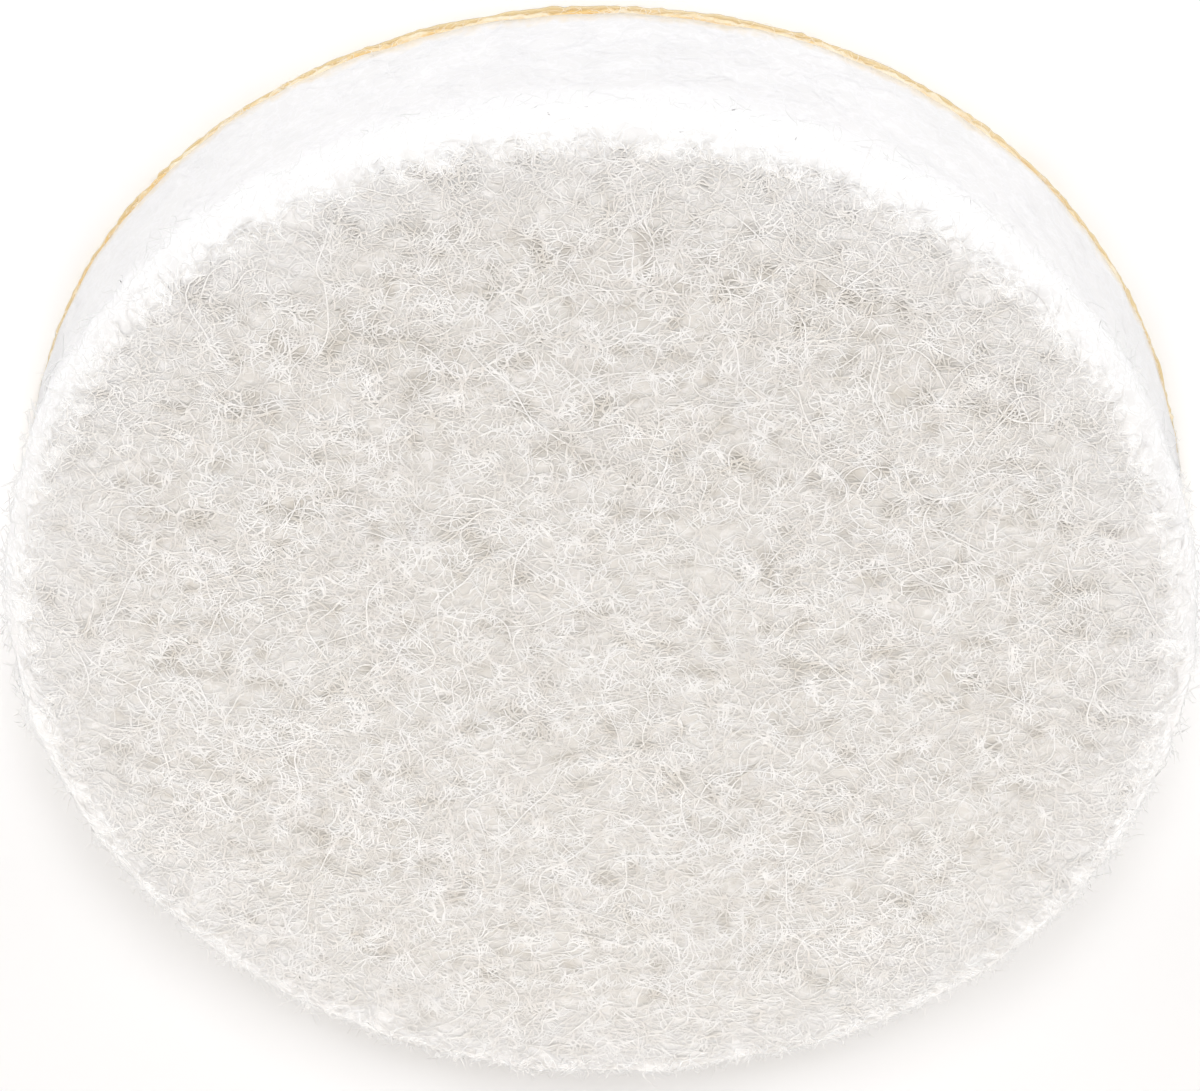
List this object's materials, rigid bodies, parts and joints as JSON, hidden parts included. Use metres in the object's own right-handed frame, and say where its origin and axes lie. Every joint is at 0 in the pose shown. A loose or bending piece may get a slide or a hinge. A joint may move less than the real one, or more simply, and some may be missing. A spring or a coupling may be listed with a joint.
{
  "type": "felt furniture pad",
  "caption": "Round self-adhesive pad of thick white needled felt, with an amber adhesive film and release paper on its underside.",
  "frame": {"origin": "centre of the underside, on the surface that the pad lies on", "axes": "+Z is the disc's axis, from the release paper to the felt's running face; X and Y lie in the plane of the disc and are equivalent"},
  "size_m": [0.025, 0.025, 0.0047],
  "materials": {
    "felt": "white needled polyester felt, matt and fibrous",
    "adhesive": "amber pressure-sensitive adhesive, clear and slightly glossy",
    "paper": "straw-coloured glassine release paper, satin"
  },
  "bodies": {
    "root": {"felt_disc": "felt", "adhesive_film": "adhesive", "release_paper": "paper"}
  },
  "joints": []
}
